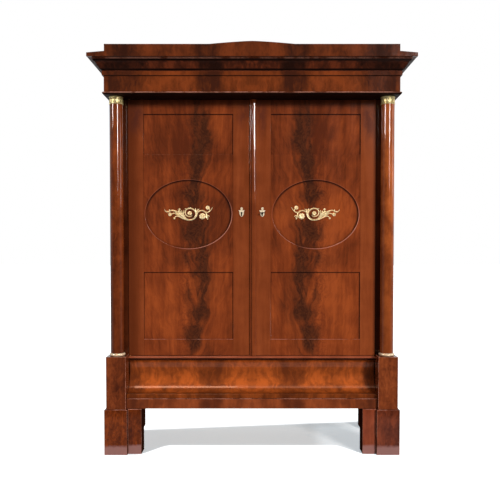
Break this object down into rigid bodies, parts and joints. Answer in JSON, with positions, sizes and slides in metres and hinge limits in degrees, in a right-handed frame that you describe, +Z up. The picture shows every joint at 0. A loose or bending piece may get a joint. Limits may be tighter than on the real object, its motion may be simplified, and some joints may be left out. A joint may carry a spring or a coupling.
{
  "type": "hall cupboard",
  "caption": "Tall two-door hall cupboard in polished mahogany with front columns, oval door panels, scroll mounts, a hollow-fronted plinth drawer and a projecting pedimented cornice.",
  "frame": {"origin": "on the floor, under the middle of the whole cupboard's box", "axes": "+Z up, -Y towards the viewer through the doors' front, +X to the right as seen from the front"},
  "size_m": [1.7392, 0.6806, 2.2119],
  "materials": {
    "polished_frame_wood": "high-gloss French polish over straight mahogany",
    "polished_figured_wood": "high-gloss French polish over flame-figured mahogany veneer",
    "polished_dark_wood": "high-gloss French polish over dark mahogany",
    "bare_softwood": "bare planed softwood",
    "brass": "polished, slightly worn",
    "bone": "smooth bone inlay",
    "iron": "dark worn iron"
  },
  "bodies": {
    "carcase": {"stile_left": "polished_frame_wood", "stile_right": "polished_frame_wood", "side_panel_left": "polished_frame_wood", "side_panel_right": "polished_frame_wood", "base_side_left": "polished_frame_wood", "base_side_right": "polished_frame_wood", "plinth_block_left": "polished_frame_wood", "plinth_block_right": "polished_frame_wood", "base_rail": "polished_frame_wood", "cupboard_floor": "polished_frame_wood", "frieze": "polished_frame_wood", "attic_board": "polished_frame_wood", "front_foot_left": "polished_dark_wood", "front_foot_right": "polished_dark_wood", "inner_foot_left": "polished_dark_wood", "inner_foot_right": "polished_dark_wood", "back_foot_left": "polished_dark_wood", "back_foot_right": "polished_dark_wood", "column_left": "polished_dark_wood", "column_right": "polished_dark_wood", "cornice_moulding": "polished_dark_wood", "cornice_top": "polished_dark_wood", "cupboard_top": "polished_dark_wood", "drawer_runner_left": "bare_softwood", "drawer_runner_right": "bare_softwood", "back_boards": "bare_softwood", "shelf_1": "bare_softwood", "shelf_2": "bare_softwood", "shelf_3": "bare_softwood", "capital_left": "brass", "capital_right": "brass", "column_base_left": "brass", "column_base_right": "brass"},
    "drawer": {"drawer_front": "polished_figured_wood", "drawer_side_left": "bare_softwood", "drawer_side_right": "bare_softwood", "drawer_back": "bare_softwood", "drawer_bottom": "bare_softwood"},
    "left_door": {"left_door_frame": "polished_frame_wood", "left_upper_panel": "polished_figured_wood", "left_oval_panel": "polished_figured_wood", "left_lower_panel": "polished_figured_wood", "left_scroll_mount": "brass", "left_key_shield": "bone", "left_bottom_pivot": "brass", "left_top_pivot": "brass"},
    "right_door": {"right_door_frame": "polished_frame_wood", "right_upper_panel": "polished_figured_wood", "right_oval_panel": "polished_figured_wood", "right_lower_panel": "polished_figured_wood", "right_scroll_mount": "brass", "right_key_shield": "bone", "right_bottom_pivot": "brass", "right_top_pivot": "brass", "astragal": "polished_frame_wood", "lock_case": "iron"},
    "top_bolt": {"top_bolt": "iron"},
    "bottom_bolt": {"bottom_bolt": "iron"},
    "lock_bolt": {"lock_bolt": "iron"},
    "key": {"key": "iron"}
  },
  "joints": [
    {"name": "left_door_hinge", "type": "hinge", "parent": "carcase", "child": "left_door", "pos_m": [-0.68025, -0.1542, 0.5285], "axis": [0, 0, -1], "range_deg": [0, 90]},
    {"name": "right_door_hinge", "type": "hinge", "parent": "carcase", "child": "right_door", "pos_m": [0.68025, -0.1542, 0.5285], "axis": [0, 0, 1], "range_deg": [0, 90]},
    {"name": "drawer_slide", "type": "slide", "parent": "carcase", "child": "drawer", "axis": [0, -1, 0], "range_m": [0, 0.4]},
    {"name": "top_bolt_slide", "type": "slide", "parent": "left_door", "child": "top_bolt", "axis": [0, 0, 1], "range_m": [0, 0.013]},
    {"name": "bottom_bolt_slide", "type": "slide", "parent": "left_door", "child": "bottom_bolt", "axis": [0, 0, -1], "range_m": [0, 0.013]},
    {"name": "key_turn", "type": "hinge", "parent": "right_door", "child": "key", "pos_m": [0.0575, -0.1587, 1.322], "axis": [0, -1, 0], "range_deg": [0, 180]},
    {"name": "lock_bolt_slide", "type": "slide", "parent": "right_door", "child": "lock_bolt", "axis": [-1, 0, 0], "range_m": [0, 0.012]}
  ],
  "couplings": [
    {"joint": "key_turn", "follows": "lock_bolt_slide", "rad_per_m": 261.8}
  ]
}
